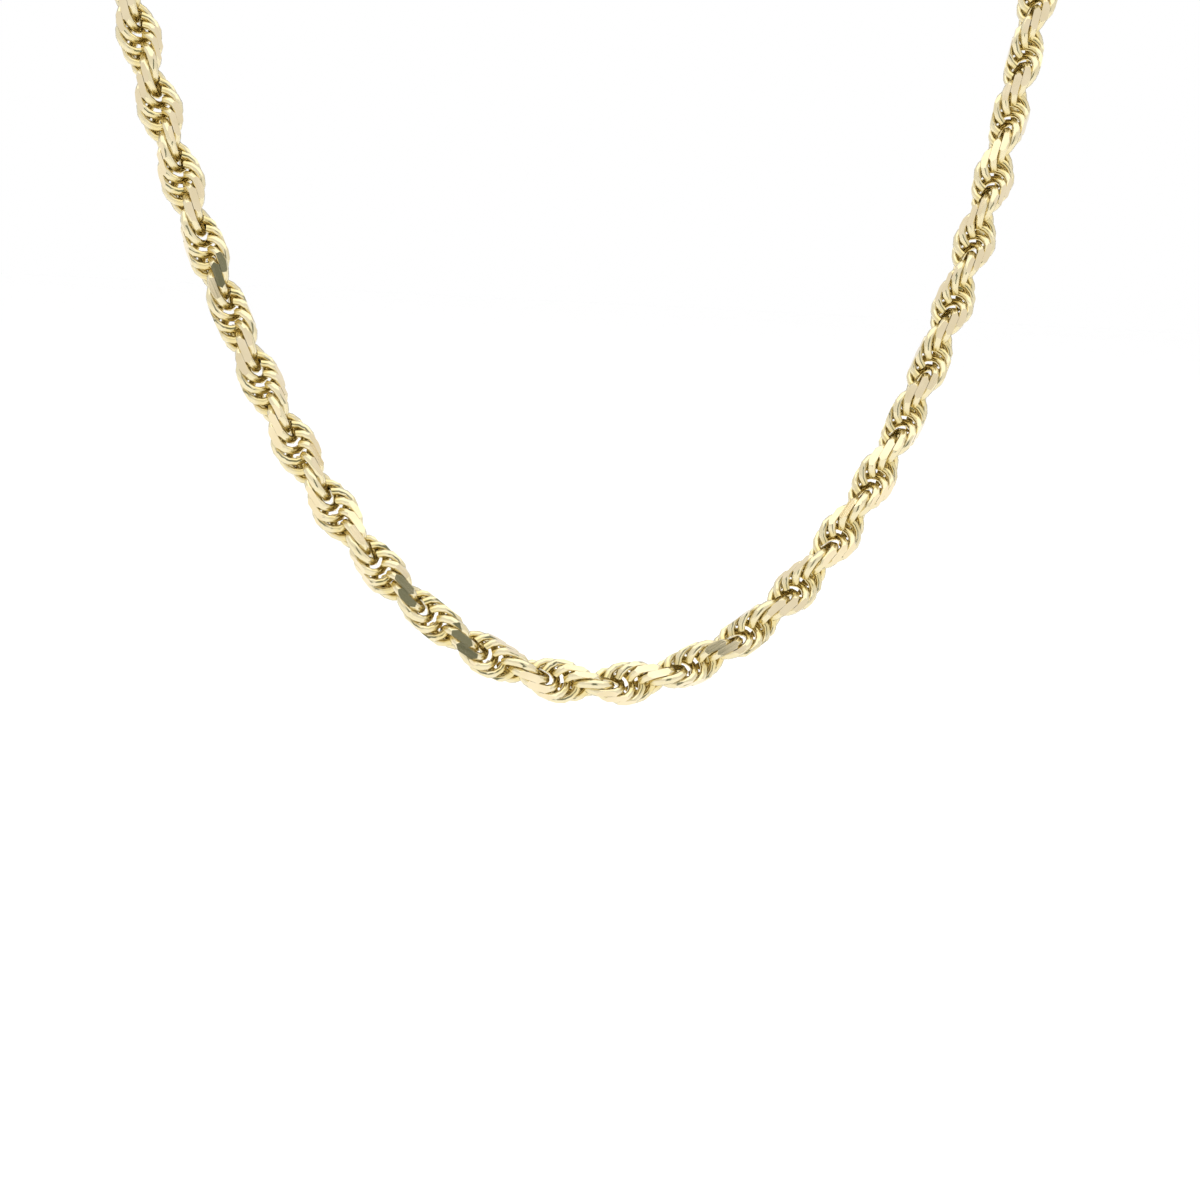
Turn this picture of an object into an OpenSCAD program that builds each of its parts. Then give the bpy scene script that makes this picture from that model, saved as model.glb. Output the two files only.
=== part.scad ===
// Rope chain necklace in its worn form, in millimetres.
// The origin is on the inner side of the clasp, at the nape. +Z is up, the front faces -Y.
// Each half of the rope is one tube of the rope's full thickness. The halves meet at the
// lowest point, and each ends flat on the clasp.

/* [Rope] */
// Thickness of the rope across its uncut links
rope_d = 3.9; // [3:0.1:4.8]

/* [Worn form] */
// Drop from the nape to the middle of the rope at its lowest point
drop = 184; // [176:1:200]
// How far the lowest point stands in front of the nape
reach = 102; // [96:1:112]
// Lean of the hanging front stretch, in degrees from upright
lean = 15; // [12:1:18]
// Radius of the hanging curve at its lowest point
curve_r = 19.6; // [17:0.1:22]
// Height above the lowest point, along the lean, at which the rope leaves the hanging curve
rise = 108; // [100:1:114]
// Width of the neck opening, from the middle of the rope to its middle
neck_w = 116; // [108:1:126]

/* [Clasp] */
// Length of the barrel clasp
clasp_l = 12; // [9:0.5:15]
// Thickness of the barrel clasp
clasp_d = 5.2; // [5:0.1:7]
// Rounding of the barrel's rims
clasp_round = 0.4; // [0.1:0.05:0.8]
// Depth of the seam round the barrel's middle
seam_depth = 0.2; // [0.1:0.05:0.4]
// Width of the seam round the barrel's middle
seam_w = 0.4; // [0.2:0.1:0.8]

/* [Hidden] */

// The hidden stretch of the right half, chosen by hand: where the neck's side lies from the
// nape, the way the rope runs there, and the four handles of the curves to and from it
ROUTE = [
    ["side back", -52],
    ["side under", -28],
    ["run at side", [0, 0.78, 0.62]],
    ["handle over the front", 20],
    ["handle under the side", 20],
    ["handle past the side", 30],
    ["handle at the nape", 32]
];
side_at = [neck_w / 2, ROUTE[0][1], ROUTE[1][1]];
side_run = ROUTE[2][1] / norm(ROUTE[2][1]);

sides = 12;
// Rings along the hanging curve, up to the neck's side, and round to the nape
hang_rings = 18;
rise_rings = 9;
nape_rings = 11;
// Above 1, rings stand closer together where the hanging curve is tight
ring_spread = 1.4;
// The flats of the tube touch the round of the uncut rope
tube_r = rope_d / 2 / cos(180 / sides);
// A ring is turned by half a side so that a flat faces the inside of the loop
ring_turn = 180 / sides;
// This direction is never along the rope, so each ring is set square by it
steady = [0, -1, 1];

low_at = [0, -reach, -drop];
hang_s = sqrt(pow(rise + curve_r, 2) - pow(curve_r, 2));
nape_at = [clasp_l / 2, clasp_d / 2, 0];

// A point of the hanging curve, at a length along it from the lowest point
function hang_point(s) =
    let (across = curve_r * ln(s / curve_r + sqrt(1 + pow(s / curve_r, 2))))
    let (up = sqrt(pow(curve_r, 2) + s * s) - curve_r)
    low_at + [across, up * sin(lean), up * cos(lean)];

// The direction of the rope there
function hang_run(s) =
    [curve_r, s * sin(lean), s * cos(lean)] / sqrt(pow(curve_r, 2) + s * s);

// A point of the smooth curve that four control points shape
function curve_point(c, t) =
    pow(1 - t, 3) * c[0] + 3 * pow(1 - t, 2) * t * c[1]
    + 3 * (1 - t) * t * t * c[2] + pow(t, 3) * c[3];

// The direction of the rope there
function curve_run(c, t) =
    let (d = pow(1 - t, 2) * (c[1] - c[0]) + 2 * (1 - t) * t * (c[2] - c[1])
        + t * t * (c[3] - c[2]))
    d / norm(d);

rise_curve = [
    hang_point(hang_s),
    hang_point(hang_s) + ROUTE[3][1] * hang_run(hang_s),
    side_at - ROUTE[4][1] * side_run,
    side_at
];
nape_curve = [
    side_at,
    side_at + ROUTE[5][1] * side_run,
    nape_at + [ROUTE[6][1], 0, 0],
    nape_at
];

hang_steps = [for (i = [0 : hang_rings]) hang_s * pow(i / hang_rings, ring_spread)];
rise_steps = [for (i = [1 : rise_rings]) i / rise_rings];
nape_steps = [for (i = [1 : nape_rings]) i / nape_rings];

points = concat(
    [for (s = hang_steps) hang_point(s)],
    [for (t = rise_steps) curve_point(rise_curve, t)],
    [for (t = nape_steps) curve_point(nape_curve, t)]
);
runs = concat(
    [for (s = hang_steps) hang_run(s)],
    [for (t = rise_steps) curve_run(rise_curve, t)],
    [for (t = nape_steps) curve_run(nape_curve, t)]
);

// One ring of the tube, square to the rope
function ring(p, run) =
    let (flat = steady - (steady * run) * run)
    let (u = flat / norm(flat))
    let (v = cross(run, u))
    [for (k = [0 : sides - 1])
        let (f = 360 * k / sides + ring_turn)
        p + tube_r * (cos(f) * u + sin(f) * v)];

// A closed tube through rings that follow each other
module tube(centres, ways) {
    count = len(centres);
    corners = [for (i = [0 : count - 1]) each ring(centres[i], ways[i])];
    walls = [
        for (i = [0 : count - 2], k = [0 : sides - 1])
            let (next = (k + 1) % sides)
            [i * sides + k, (i + 1) * sides + k, (i + 1) * sides + next, i * sides + next]
    ];
    first_end = [for (k = [0 : sides - 1]) k];
    last_end = [for (k = [sides - 1 : -1 : 0]) (count - 1) * sides + k];
    polyhedron(corners, concat([first_end], walls, [last_end]), convexity = 6);
}

module chain_right() {
    color("#E2C98F")
        tube(points, runs);
}

module chain_left() {
    color("#DCC080")
        mirror([1, 0, 0])
            tube(points, runs);
}

// The profile of one barrel, with round rims and a seam round its middle
module clasp_profile() {
    rim_x = clasp_d / 2 - clasp_round;
    difference() {
        union() {
            translate([0, -clasp_l / 2])
                square([rim_x, clasp_l]);
            translate([0, -clasp_l / 2 + clasp_round])
                square([clasp_d / 2, clasp_l - 2 * clasp_round]);
            for (end = [-1, 1])
                intersection() {
                    translate([rim_x, end * (clasp_l / 2 - clasp_round)])
                        circle(r = clasp_round, $fn = 48);
                    translate([rim_x, -clasp_l / 2])
                        square([clasp_round, clasp_l]);
                }
        }
        translate([clasp_d / 2 - seam_depth, -seam_w / 2])
            square([seam_depth + 1, seam_w]);
    }
}

module clasp() {
    color("#D8BC7A")
        translate([0, clasp_d / 2, 0])
            rotate([0, 90, 0])
                rotate_extrude($fn = 96)
                    clasp_profile();
}

chain_left();
chain_right();
clasp();
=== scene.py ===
# %% [markdown]
# # A diamond-cut rope chain necklace
#
# A rope chain looks like twisted rope, but it is made of some six hundred small rings. Each ring
# has a slit, and each hooks through the three before it. After the weaving, the rope is shaved
# flat on four sides, which is called the diamond cut.
#
# One ring is modelled, cut in every way that the shaving cuts it, and copied along the
# way that the necklace hangs. Blender's lengths are metres, and mm turns millimetres into them.

# %% Load the fixed frame
import math

import bpy
import numpy as np
from mathutils import Matrix, Vector


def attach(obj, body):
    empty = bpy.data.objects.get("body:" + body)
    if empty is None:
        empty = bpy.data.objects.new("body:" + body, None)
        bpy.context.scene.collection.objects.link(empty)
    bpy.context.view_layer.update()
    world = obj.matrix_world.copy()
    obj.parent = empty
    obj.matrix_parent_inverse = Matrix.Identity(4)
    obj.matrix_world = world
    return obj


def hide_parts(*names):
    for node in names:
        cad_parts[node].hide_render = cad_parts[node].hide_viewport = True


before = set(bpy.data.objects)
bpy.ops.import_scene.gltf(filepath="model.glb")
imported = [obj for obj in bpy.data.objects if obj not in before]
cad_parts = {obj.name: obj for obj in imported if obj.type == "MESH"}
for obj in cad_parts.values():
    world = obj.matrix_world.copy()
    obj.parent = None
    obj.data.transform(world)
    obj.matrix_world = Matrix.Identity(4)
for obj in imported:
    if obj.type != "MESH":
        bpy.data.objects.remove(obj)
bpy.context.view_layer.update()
mm = 0.001
print("solids in the frame:", sorted(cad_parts))

# %% [markdown]
# ## The way of the rope
#
# A hanging chain takes the curve called a catenary, so the front is worked out from one number,
# the radius of the curve at its lowest point. From there the rope runs up and round to the nape
# in two smooth curves with four control points each. These are the same sizes and points as in
# the solids, so the rings lie where the solids are.

# %% The route's sizes
drop = 184 * mm
reach = 102 * mm
lean = math.radians(15)
curve_r = 19.6 * mm
rise = 108 * mm
neck_w = 116 * mm
clasp_l = 12 * mm
clasp_d = 5.2 * mm

# %% Its points, and how far the control points lie from them
low_at = Vector((0, -reach, -drop))
side_at = Vector((neck_w / 2, -52 * mm, -28 * mm))
side_run = Vector((0, 0.78, 0.62)).normalized()
nape_at = Vector((clasp_l / 2, clasp_d / 2, 0))
hang_s = math.sqrt((rise + curve_r) ** 2 - curve_r ** 2)
handle_over_front = 20 * mm
handle_under_side = 20 * mm
handle_past_side = 30 * mm
handle_at_nape = 32 * mm
# The rope goes on a little inside the clasp
tail = 3 * mm
# How many points are worked out along each of the three curves
hang_count = 400
rise_count = 200
nape_count = 300


def hang_point(s):
    """A point of the hanging curve at a length along it from the lowest point."""
    across = curve_r * math.asinh(s / curve_r)
    up = math.hypot(curve_r, s) - curve_r
    return low_at + Vector((across, up * math.sin(lean), up * math.cos(lean)))


def hang_run(s):
    """The way the rope runs there."""
    return Vector((curve_r, s * math.sin(lean), s * math.cos(lean))).normalized()


def smooth_curve(a, b, c, d, count):
    """Points along the smooth curve that four control points shape, without the first."""
    points = []
    for i in range(1, count + 1):
        t = i / count
        u = 1 - t
        points.append(u ** 3 * a + 3 * u ** 2 * t * b + 3 * u * t * t * c + t ** 3 * d)
    return points


# %% One half of the route, from the lowest point to the clasp
arm_top = hang_point(hang_s)
half_route = [hang_point(hang_s * i / hang_count) for i in range(hang_count + 1)]
half_route += smooth_curve(
    arm_top,
    arm_top + handle_over_front * hang_run(hang_s),
    side_at - handle_under_side * side_run,
    side_at,
    rise_count,
)
half_route += smooth_curve(
    side_at,
    side_at + handle_past_side * side_run,
    nape_at + Vector((handle_at_nape, 0, 0)),
    nape_at,
    nape_count,
)
half_route.append(nape_at - Vector((tail, 0, 0)))

# %% The whole route, with each point's length along it from the lowest point
right = np.array([tuple(p) for p in half_route])
left = right[:0:-1] * (-1, 1, 1)
route = np.vstack([left, right])
middle = len(left)
spans = np.linalg.norm(np.diff(route, axis=0), axis=1)
along = np.concatenate([[0], np.cumsum(spans)])
along -= along[middle]
# The last point but one is where the rope meets the clasp
rope_end = along[-2]
print("the whole loop is %.1f mm long" % ((2 * rope_end + clasp_l) / mm))

# %% [markdown]
# ## A steady direction across the rope
#
# A ring needs to know which side of the rope is the back. On the flat front that is the normal
# of the leaning plane. From there it is carried along the route step by step, turning only as
# much as the rope bends, so that the rope never twists on its own.

# %% Carry the back direction along the route
run = np.gradient(route, along, axis=0)
run /= np.linalg.norm(run, axis=1)[:, None]
back = np.zeros_like(route)
back[middle] = (0, math.cos(lean), -math.sin(lean))


def carry(direction, new_run):
    """The direction made square to the new run, which turns it as little as possible."""
    kept = direction - np.dot(direction, new_run) * new_run
    return kept / np.linalg.norm(kept)


for i in range(middle + 1, len(route)):
    back[i] = carry(back[i - 1], run[i])
for i in range(middle - 1, -1, -1):
    back[i] = carry(back[i + 1], run[i])


def place_on_route(s):
    """Where the rope's middle is at length s, with its back, side and run directions."""
    here = np.array([np.interp(s, along, route[:, k]) for k in range(3)])
    way = np.array([np.interp(s, along, run[:, k]) for k in range(3)])
    way /= np.linalg.norm(way)
    behind = carry(np.array([np.interp(s, along, back[:, k]) for k in range(3)]), way)
    return here, behind, np.cross(way, behind), way


# %% [markdown]
# ## The camera
#
# The photograph was taken from close by, a little from the left and from just above, so the left
# arm of the necklace looks larger than the right one. Place, aim and lens were worked out from
# the twists of the rope, which are evenly spaced on the real thing.

# %% Which way the camera looks
camera_turn = math.radians(13.5)
camera_down = math.radians(9.1)
camera_roll = math.radians(3.3)
camera_away = 191 * mm
camera_aim = low_at + Vector((-0.3 * mm, 0, 7.3 * mm))

look = Vector((
    math.sin(camera_turn) * math.cos(camera_down),
    math.cos(camera_turn) * math.cos(camera_down),
    -math.sin(camera_down),
))
level = Vector((math.cos(camera_turn), -math.sin(camera_turn), 0))
upward = level.cross(look)
picture_right = math.cos(camera_roll) * level + math.sin(camera_roll) * upward
picture_up = picture_right.cross(look)
picture_axes = Matrix((picture_right, picture_up, -look)).transposed().to_4x4()
camera_at = camera_aim - camera_away * look

# %% Place the camera
# A camera's sensor and lens are given in millimetres.
camera_sensor = 36
camera_lens = 68
bpy.ops.object.select_all(action="DESELECT")
bpy.ops.object.camera_add(location=camera_at)
camera = bpy.context.object
camera.name = "camera"
camera.matrix_world = Matrix.Translation(camera_at) @ picture_axes
camera.data.sensor_width = camera_sensor
camera.data.lens = camera_lens
camera.data.clip_start = 5 * mm
bpy.context.scene.camera = camera
print("the camera stands %.0f mm from the rope" % (camera_away / mm))

# %% [markdown]
# ## One ring of the rope
#
# The ring is a small torus of wire with two of its sixteen segments taken out: that is the slit
# through which it is hooked into the rings before it. It is modelled lying flat, twisted a very
# little, and then stood up, so that its plane holds the rope's length.
#
# Every ring sits on the rope's middle and is turned a little further than the last. So its two
# outer sides belong to the two strands that one sees. The wire is as thick as it can be before
# the rings would run into each other. The little twist gives them that last bit of room.
#
# Six sides are enough for a wire this fine, but a six-sided wire is narrower than the round one
# that it stands for. So it is spread sideways until neighbouring rings touch, as in a tight rope.

# %% The rope's measures
half_turn = 6.082 * mm
rings_per_half_turn = 6.5
rope_d = 3.88 * mm
# The wire's thickness, as a share of the radius at the wire's middle
wire_share = 0.43
ring_r = rope_d / 2 / (1 + wire_share / 2)
wire_d = wire_share * ring_r
ring_step = half_turn / rings_per_half_turn
ring_turn = math.pi / rings_per_half_turn
# How many steps the first ring lies to the right of the lowest point
ring_start = 0.42
print("ring %.2f mm across, wire %.2f mm" % (rope_d / mm, wire_d / mm))
print("a ring every %.3f mm" % (ring_step / mm))

# %% Bend one ring
ring_segments = 16
wire_sides = 6
wire_spread = 1.15
slit_at = math.radians(90)
bpy.ops.object.select_all(action="DESELECT")
bpy.ops.mesh.primitive_torus_add(
    major_segments=ring_segments,
    minor_segments=wire_sides,
    major_radius=ring_r,
    minor_radius=wire_d / 2,
    rotation=(0, 0, slit_at),
)
ring = bpy.context.object
ring.name = "ring"
ring.scale.z = wire_spread
bpy.ops.object.transform_apply(location=True, rotation=True, scale=True)


def choose_faces(piece, wanted):
    """Selects the faces whose middle passes the test, and nothing else."""
    bpy.ops.object.mode_set(mode="EDIT")
    bpy.ops.mesh.select_mode(type="FACE")
    bpy.ops.mesh.select_all(action="DESELECT")
    bpy.ops.object.mode_set(mode="OBJECT")
    for face in piece.data.polygons:
        face.select = bool(wanted(face))
    bpy.ops.object.mode_set(mode="EDIT")


# %% Open its slit
# The middles of the two segments lie half a segment to either side of the slit's middle, and the
# next ones lie one and a half away.
slit_reach = 0.8 * 2 * math.pi / ring_segments
slit_way = Vector((math.cos(slit_at), math.sin(slit_at), 0))
choose_faces(ring, lambda face: face.center.xy.to_3d().angle(slit_way) < slit_reach)
bpy.ops.mesh.delete(type="FACE")
bpy.ops.mesh.select_mode(type="EDGE")
bpy.ops.mesh.select_non_manifold()
bpy.ops.mesh.mark_sharp()
bpy.ops.mesh.fill_holes(sides=wire_sides)
bpy.ops.mesh.select_all(action="SELECT")
bpy.ops.mesh.normals_make_consistent(inside=False)
bpy.ops.object.mode_set(mode="OBJECT")

# %% Twist it along its strand
# From one side to the other it turns by 5.6 degrees, in radians here.
ring_twist = -0.0972
bpy.ops.object.modifier_add(type="SIMPLE_DEFORM")
twist = ring.modifiers[-1]
twist.deform_method = "TWIST"
twist.deform_axis = "X"
twist.angle = ring_twist
bpy.ops.object.modifier_apply(modifier=twist.name)

# %% Stand the ring up in the rope
ring.rotation_euler = (math.radians(-90), 0, 0)
bpy.ops.object.transform_apply(location=True, rotation=True, scale=True)
bpy.ops.object.shade_smooth()
print("one ring has", len(ring.data.polygons), "faces")

# %% [markdown]
# ## Gold
#
# Pale yellow gold is a metal whose own colour tints what it mirrors. Wire that was drawn and
# tumbled is a little wavy and carries fine rubbing marks. Between the rings the wire gets a
# deeper tone, which is painted shade where the rings hide each other. A facet that a diamond
# tool has cut is flatter and brighter, with very fine lines that run along the rope.
#
# Both finishes ask each point where it lay on the straight rope, before the rope was hung: the
# wire for its painted shade near the rope's middle, the facets for their tool lines. The
# rings get that memory when they are put in their places further down.

# %% Helpers for materials
def colour(hex_code):
    """A web colour as the linear numbers that a shader wants."""
    parts = [int(hex_code[i:i + 2], 16) / 255 for i in (1, 3, 5)]
    linear = [p / 12.92 if p <= 0.04045 else ((p + 0.055) / 1.055) ** 2.4 for p in parts]
    return (*linear, 1)


def add_node(tree, kind, settings=None, links=None):
    """Adds one node, fills in its sockets and settings, and links what feeds it."""
    made = tree.nodes.new(kind)
    for name, value in (settings or {}).items():
        if name in made.inputs:
            made.inputs[name].default_value = value
        else:
            setattr(made, name, value)
    for name, source in (links or {}).items():
        tree.links.new(source, made.inputs[name])
    return made


def new_material(name, base, roughness):
    """A metal with its shader. Its plain tone and roughness hold until patterns are linked."""
    made = bpy.data.materials.new(name)
    made.use_nodes = True
    shader = made.node_tree.nodes["Principled BSDF"]
    shader.inputs["Base Color"].default_value = colour(base)
    shader.inputs["Metallic"].default_value = 1
    shader.inputs["Roughness"].default_value = roughness
    return made, made.node_tree, shader


# %% Polished wire, its tone and painted recess shade
# The tone is clear on the outside and darker within 0.7 mm of the rope's middle: painted shade
# in the recesses between the rings. It also changes at random from patch to patch, each about 1.4
# mm wide.
recess_shade_within = 0.7 * mm
recess_shade_clear_from = 1.3 * mm
# The deeper tone is painted shade in the recesses, and also the tone of the darker random patches.
recess_shade_and_patch_tone = colour("#DFCE98")
clear_tone = colour("#E3D7B3")
wire_gold, tree, shader = new_material("polished yellow gold wire", "#E3D6AE", 0.12)
place = add_node(tree, "ShaderNodeTexCoord").outputs["Object"]
memory = add_node(tree, "ShaderNodeAttribute", {"attribute_name": "straight_rope"})
across = add_node(
    tree, "ShaderNodeMapping", {"Scale": (1, 1, 0)}, {"Vector": memory.outputs["Vector"]}
)
from_middle = add_node(
    tree, "ShaderNodeVectorMath", {"operation": "LENGTH"}, {"Vector": across.outputs["Vector"]}
)
# Painted shade: the wire turns darker towards the rope's middle, between the rings.
recess_shade_fade = add_node(
    tree, "ShaderNodeMapRange",
    {"From Min": recess_shade_within, "From Max": recess_shade_clear_from, "To Min": 0, "To Max": 1.5},
    {"Value": from_middle.outputs["Value"]},
)
patches = add_node(tree, "ShaderNodeTexNoise", {"Scale": 700.0, "Detail": 2.0}, {"Vector": place})
missed = add_node(
    tree, "ShaderNodeMapRange", {"To Min": -1, "To Max": 0}, {"Value": patches.outputs["Fac"]}
)
# Both inputs of a Math node have the same name, so the second is linked by its number.
# The painted recess shade and the random patches add up here.
tone = add_node(
    tree, "ShaderNodeMath",
    {"operation": "ADD", "use_clamp": True},
    {"Value": recess_shade_fade.outputs["Result"]},
)
tree.links.new(missed.outputs["Result"], tone.inputs[1])
gold = add_node(
    tree, "ShaderNodeMixRGB",
    {"Color1": recess_shade_and_patch_tone, "Color2": clear_tone},
    {"Fac": tone.outputs["Value"]},
)
tree.links.new(gold.outputs["Color"], shader.inputs["Base Color"])

# %% Polished wire, its surface
# Rubbing marks of 0.2 mm and waves of 0.7 mm. Real rubbing marks are finer than a picture can
# show, so they are drawn this coarse. Noise mostly stays between 0.3 and 0.7, so that range is
# spread over the roughness.
rubbing = add_node(tree, "ShaderNodeTexNoise", {"Scale": 5000.0, "Detail": 3.0}, {"Vector": place})
rough = add_node(
    tree, "ShaderNodeMapRange",
    {"From Min": 0.3, "From Max": 0.7, "To Min": 0.1, "To Max": 0.22},
    {"Value": rubbing.outputs["Fac"]},
)
tree.links.new(rough.outputs["Result"], shader.inputs["Roughness"])
waves = add_node(tree, "ShaderNodeTexNoise", {"Scale": 1400.0, "Detail": 1.0}, {"Vector": place})
bump = add_node(
    tree, "ShaderNodeBump",
    {"Strength": 0.25, "Distance": 0.02 * mm},
    {"Height": waves.outputs["Fac"]},
)
tree.links.new(bump.outputs["Normal"], shader.inputs["Normal"])
ring.data.materials.append(wire_gold)

# %% Diamond-cut facets, their tone
# Patches of 2 mm.
cut_gold, tree, shader = new_material("diamond-cut yellow gold facet", "#E7D8B5", 0.06)
place = add_node(tree, "ShaderNodeTexCoord").outputs["Object"]
patches = add_node(tree, "ShaderNodeTexNoise", {"Scale": 500.0, "Detail": 2.0}, {"Vector": place})
share = add_node(
    tree, "ShaderNodeMapRange",
    {"From Min": 0.3, "From Max": 0.7},
    {"Value": patches.outputs["Fac"]},
)
gold = add_node(
    tree, "ShaderNodeMixRGB",
    {"Color1": colour("#E0D0AB"), "Color2": colour("#E9DAB9")},
    {"Fac": share.outputs["Result"]},
)
tree.links.new(gold.outputs["Color"], shader.inputs["Base Color"])

# %% Diamond-cut facets, their surface
# Tool lines 0.17 mm apart and 3 mm long. Real ones are finer and would not show in a picture.
memory = add_node(tree, "ShaderNodeAttribute", {"attribute_name": "straight_rope"})
drawn_out = add_node(
    tree, "ShaderNodeMapping", {"Scale": (1, 1, 0.05)}, {"Vector": memory.outputs["Vector"]}
)
lines = add_node(
    tree, "ShaderNodeTexNoise",
    {"Scale": 6000.0, "Detail": 3.0},
    {"Vector": drawn_out.outputs["Vector"]},
)
rough = add_node(
    tree, "ShaderNodeMapRange",
    {"From Min": 0.3, "From Max": 0.7, "To Min": 0.04, "To Max": 0.14},
    {"Value": lines.outputs["Fac"]},
)
tree.links.new(rough.outputs["Result"], shader.inputs["Roughness"])
bump = add_node(
    tree, "ShaderNodeBump",
    {"Strength": 0.2, "Distance": 0.01 * mm},
    {"Height": lines.outputs["Fac"]},
)
tree.links.new(bump.outputs["Normal"], shader.inputs["Normal"])
ring.data.materials.append(cut_gold)

# %% [markdown]
# ## The diamond cut
#
# The shaved sides are four flats, like the sides of a square rod round the rope. They wind slowly
# round it, so they meet every ring at another angle. After sixteen half turns, which are 104
# rings, the same angles come back. So one ring is copied 104 times and each copy is cut with the
# four planes at its own angle. The cut's edges are marked sharp, and its face gets the facet
# finish.
#
# Two angles were read off the photograph: how far the strands have turned at the lowest point, and
# which way the flats face there. With them the broad facets lie where they lie on the real rope.

# %% How the flats wind
flats = 4
# How far out the flats lie, as a share of the rope's own radius
flat_share = 0.79
flat_r = flat_share * rope_d / 2
repeat_half_turns = 16
repeat_flat_turn = math.radians(270)
pattern_rings = round(repeat_half_turns * rings_per_half_turn)
flat_turn_per_ring = repeat_flat_turn / pattern_rings
# Whole turns in this angle make no difference
low_strand_turn = math.pi * 11.103
low_flat_turn = math.radians(50)
first_turn = low_strand_turn + ring_start * ring_turn
first_flat = low_flat_turn + ring_start * flat_turn_per_ring - first_turn


def cut_flat(angle):
    """Shaves one flat side off the ring that is being edited."""
    outward = Vector((math.cos(angle), math.sin(angle), 0))
    bpy.ops.mesh.select_all(action="SELECT")
    bpy.ops.mesh.bisect(
        plane_co=outward * flat_r,
        plane_no=outward,
        use_fill=True,
        clear_outer=True,
        threshold=0.0001 * mm,
    )
    bpy.ops.mesh.mark_sharp()
    bpy.ops.object.material_slot_assign()


def cut_copy(number):
    """A copy of the ring, cut as the ring of that number in the repeat is."""
    bpy.ops.object.select_all(action="DESELECT")
    copy = ring.copy()
    copy.data = ring.data.copy()
    bpy.context.collection.objects.link(copy)
    bpy.context.view_layer.objects.active = copy
    copy.select_set(True)
    copy.active_material_index = 1
    bpy.ops.object.mode_set(mode="EDIT")
    bpy.ops.mesh.select_mode(type="FACE")
    turned = first_flat + number * (flat_turn_per_ring - ring_turn)
    for side in range(flats):
        cut_flat(turned + side * 2 * math.pi / flats)
    bpy.ops.object.mode_set(mode="OBJECT")
    return copy


# %% Cut the rings of one repeat
cut_rings = [cut_copy(number) for number in range(pattern_rings)]
cut_faces = sum(len(r.data.polygons) for r in cut_rings)
print("rings in one repeat:", len(cut_rings), "with", cut_faces, "faces")

# %% [markdown]
# ## The whole rope
#
# Each ring keeps its own shape and is only put in its place: a turn about the rope and a step
# along it. The rings that come out of one half of the loop are then joined into one piece, so
# that the scene stays light. Each point also remembers where it lay on the straight rope, for the
# wire's painted recess shade and the facets' tool lines. The last rings of each half sit inside
# the clasp, as a rope's ends do in its caps.

# %% Put every ring in its place
into_clasp = 1.4 * mm
last_number = int((rope_end + into_clasp) / ring_step - ring_start)


def placed_ring(number):
    """One more ring of the rope, as an object with its own mesh."""
    s = (number + ring_start) * ring_step
    here, behind, aside, way = place_on_route(s)
    turn = Matrix.Rotation(first_turn + number * ring_turn, 4, "Z")
    square = Matrix((behind, aside, way)).transposed().to_4x4()
    mesh = cut_rings[number % pattern_rings].data.copy()
    mesh.transform(turn)
    straight = np.empty(len(mesh.vertices) * 3, np.float32)
    mesh.vertices.foreach_get("co", straight)
    straight[2::3] += s
    remembered = mesh.attributes.new("straight_rope", "FLOAT_VECTOR", "POINT")
    remembered.data.foreach_set("vector", straight)
    mesh.transform(Matrix.Translation(here) @ square)
    piece = bpy.data.objects.new("ring", mesh)
    bpy.context.collection.objects.link(piece)
    return piece


def joined(name, numbers):
    """The rings of these numbers as one piece."""
    pieces = [placed_ring(number) for number in numbers]
    bpy.ops.object.select_all(action="DESELECT")
    for piece in pieces:
        piece.select_set(True)
    bpy.context.view_layer.objects.active = pieces[0]
    bpy.ops.object.join()
    rope = bpy.context.object
    rope.name = name
    triangles = sum(len(f.vertices) - 2 for f in rope.data.polygons)
    print(name, "has", len(pieces), "rings and", triangles, "triangles")
    return rope


rope_left = joined("rope_left", range(-last_number, 0))
rope_right = joined("rope_right", range(0, last_number + 1))
for left_over in [ring] + cut_rings:
    bpy.data.objects.remove(left_over)

# %% Let the ropes stand for the plain solids
for rope, node in ((rope_left, "chain_left"), (rope_right, "chain_right")):
    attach(rope, "root")
    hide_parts(node)

# %% [markdown]
# ## The clasp
#
# The clasp is a plain turned barrel, out of sight at the nape. Its solid already has the right
# shape, so it keeps it and gets a turned gold finish: fine rings round the barrel.

# %% Finish the clasp
# The turned lines are 0.26 mm apart, coarser than real ones.
clasp_gold, tree, shader = new_material("turned yellow gold", "#E3D6AE", 0.25)
place = add_node(tree, "ShaderNodeTexCoord").outputs["Object"]
turned_lines = add_node(
    tree, "ShaderNodeTexWave",
    {"Scale": 1200.0, "Distortion": 2.0, "Detail": 2.0, "bands_direction": "X"},
    {"Vector": place},
)
gold = add_node(
    tree, "ShaderNodeMixRGB",
    {"Color1": colour("#DCCEA2"), "Color2": colour("#E8DBB6")},
    {"Fac": turned_lines.outputs["Fac"]},
)
tree.links.new(gold.outputs["Color"], shader.inputs["Base Color"])
rough = add_node(
    tree, "ShaderNodeMapRange",
    {"To Min": 0.18, "To Max": 0.32},
    {"Value": turned_lines.outputs["Fac"]},
)
tree.links.new(rough.outputs["Result"], shader.inputs["Roughness"])
bump = add_node(
    tree, "ShaderNodeBump",
    {"Strength": 0.4, "Distance": 0.02 * mm},
    {"Height": turned_lines.outputs["Fac"]},
)
tree.links.new(bump.outputs["Normal"], shader.inputs["Normal"])
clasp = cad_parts["clasp"]
clasp.data.materials.clear()
clasp.data.materials.append(clasp_gold)

# %% [markdown]
# ## Floor and light
#
# The necklace hangs in the air over a plain white floor. Polished metal shows what stands round
# it, so the light comes from all sides like in a white tent. Behind the camera stands a dark card,
# and its darkness shows in the facets that face the camera. The floor takes no shade from it. A
# bright card overhead gives the glints on the wires.

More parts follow.
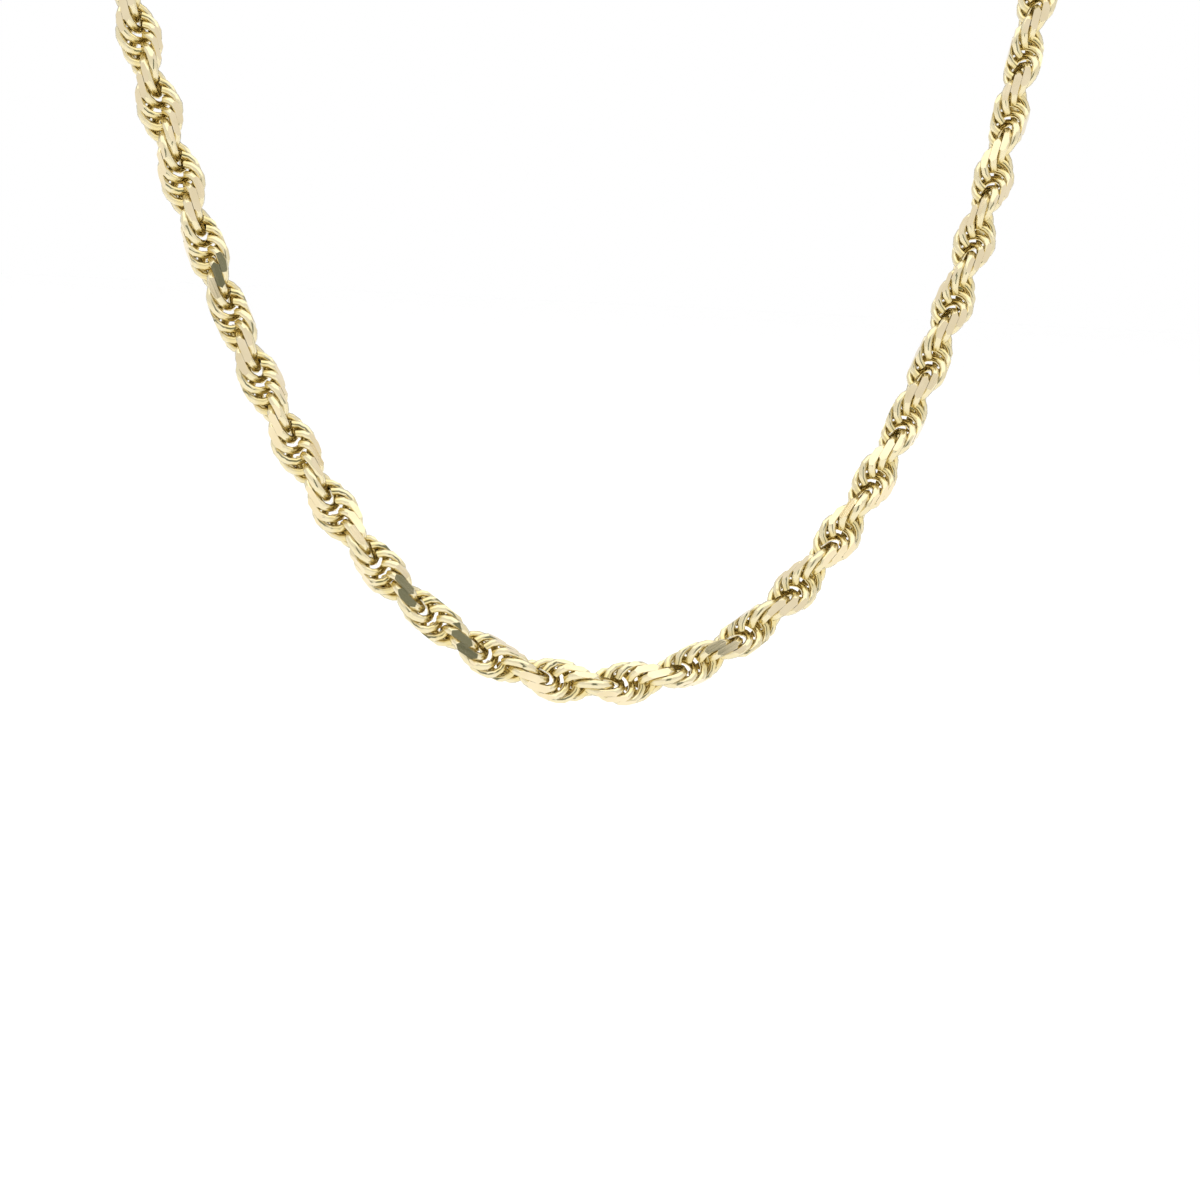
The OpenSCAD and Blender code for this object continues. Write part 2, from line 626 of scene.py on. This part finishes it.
# %% Floor
floor_below = 60 * mm
bpy.ops.object.select_all(action="DESELECT")
bpy.ops.mesh.primitive_plane_add(size=6, location=(0, 0, -drop - floor_below))
floor = bpy.context.object
floor.name = "floor"
paper = bpy.data.materials.new("white paper floor")
paper.use_nodes = True
paper_shader = paper.node_tree.nodes["Principled BSDF"]
paper_shader.inputs["Base Color"].default_value = colour("#FFFFFF")
paper_shader.inputs["Roughness"].default_value = 0.9
floor.data.materials.append(paper)

# %% Light from all sides
world = bpy.data.worlds.new("white tent")
bpy.context.scene.world = world
world.use_nodes = True
world.node_tree.nodes["Background"].inputs["Color"].default_value = (1, 1, 1, 1)
world.node_tree.nodes["Background"].inputs["Strength"].default_value = 1


def card(name, size, location, rotation, dark, light, strength):
    """A glowing card with faint streaks, which the rope mirrors and the camera doesn't see."""
    bpy.ops.object.select_all(action="DESELECT")
    bpy.ops.mesh.primitive_plane_add(size=1, location=location, rotation=rotation)
    made = bpy.context.object
    made.name = name
    made.dimensions = (*size, 0)
    made.visible_camera = False
    made.visible_shadow = False
    paint = bpy.data.materials.new(name)
    paint.use_nodes = True
    tree = paint.node_tree
    spot = add_node(tree, "ShaderNodeTexCoord").outputs["UV"]
    noise = add_node(tree, "ShaderNodeTexNoise", {"Scale": 4.0, "Detail": 3.0}, {"Vector": spot})
    streaks = add_node(
        tree, "ShaderNodeMapRange",
        {"From Min": 0.3, "From Max": 0.7},
        {"Value": noise.outputs["Fac"]},
    )
    shade = add_node(
        tree, "ShaderNodeMixRGB",
        {"Color1": colour(dark), "Color2": colour(light)},
        {"Fac": streaks.outputs["Result"]},
    )
    glow = add_node(
        tree, "ShaderNodeEmission", {"Strength": strength}, {"Color": shade.outputs["Color"]}
    )
    tree.links.new(glow.outputs["Emission"], tree.nodes["Material Output"].inputs["Surface"])
    made.data.materials.append(paint)
    return made


# %% A dark card behind the camera and a bright one overhead
dark_card = card(
    "dark card",
    size=(0.118, 0.235),
    location=(-0.006, -0.33, -0.1225),
    rotation=(math.radians(90), 0, 0),
    dark="#646C62",
    light="#9CA297",
    strength=1,
)
dark_card.visible_diffuse = False
card(
    "bright card",
    size=(1.4, 1.0),
    location=(0, -0.1, 0.45),
    rotation=(0, 0, 0),
    dark="#FFFFF6",
    light="#FFFFFF",
    strength=1.55,
)

# %% Colours as they are
bpy.context.scene.view_settings.view_transform = "Standard"
bpy.context.scene.view_settings.look = "None"
